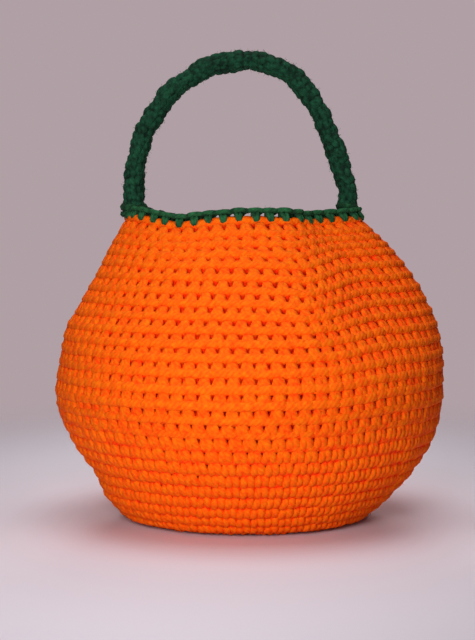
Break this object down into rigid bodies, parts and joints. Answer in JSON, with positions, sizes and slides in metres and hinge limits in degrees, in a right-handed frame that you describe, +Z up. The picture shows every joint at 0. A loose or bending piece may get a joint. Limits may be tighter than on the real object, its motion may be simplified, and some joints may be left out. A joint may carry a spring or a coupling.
{
  "type": "pumpkin treat bag",
  "caption": "Round crocheted pumpkin-coloured treat bag with a flat bottom, a narrowed oval mouth with a green edging and an arched green strap handle that folds down.",
  "frame": {"origin": "centre of the flat bottom circle, where the bag rests on the table", "axes": "+Z up through the mouth, -Y towards the front that the picture shows, +X to the right seen from the front"},
  "size_m": [0.1933, 0.1924, 0.2329],
  "materials": {
    "orange_yarn": "soft acrylic worsted yarn in single crochet",
    "green_yarn": "soft acrylic worsted yarn in single crochet, dark green"
  },
  "bodies": {
    "bag": {"base_circle": "orange_yarn", "increase_rounds": "orange_yarn", "belly_rounds": "orange_yarn", "decrease_rounds": "orange_yarn", "rim_edging": "green_yarn", "left_sewing_loop": "green_yarn", "right_sewing_loop": "green_yarn"},
    "handle": {"handle_strap": "green_yarn"}
  },
  "joints": [
    {"name": "handle_swing", "type": "hinge", "parent": "bag", "child": "handle", "pos_m": [-0.004, 0, 0.1608], "axis": [1, 0, 0], "range_deg": [-90, 90]}
  ]
}
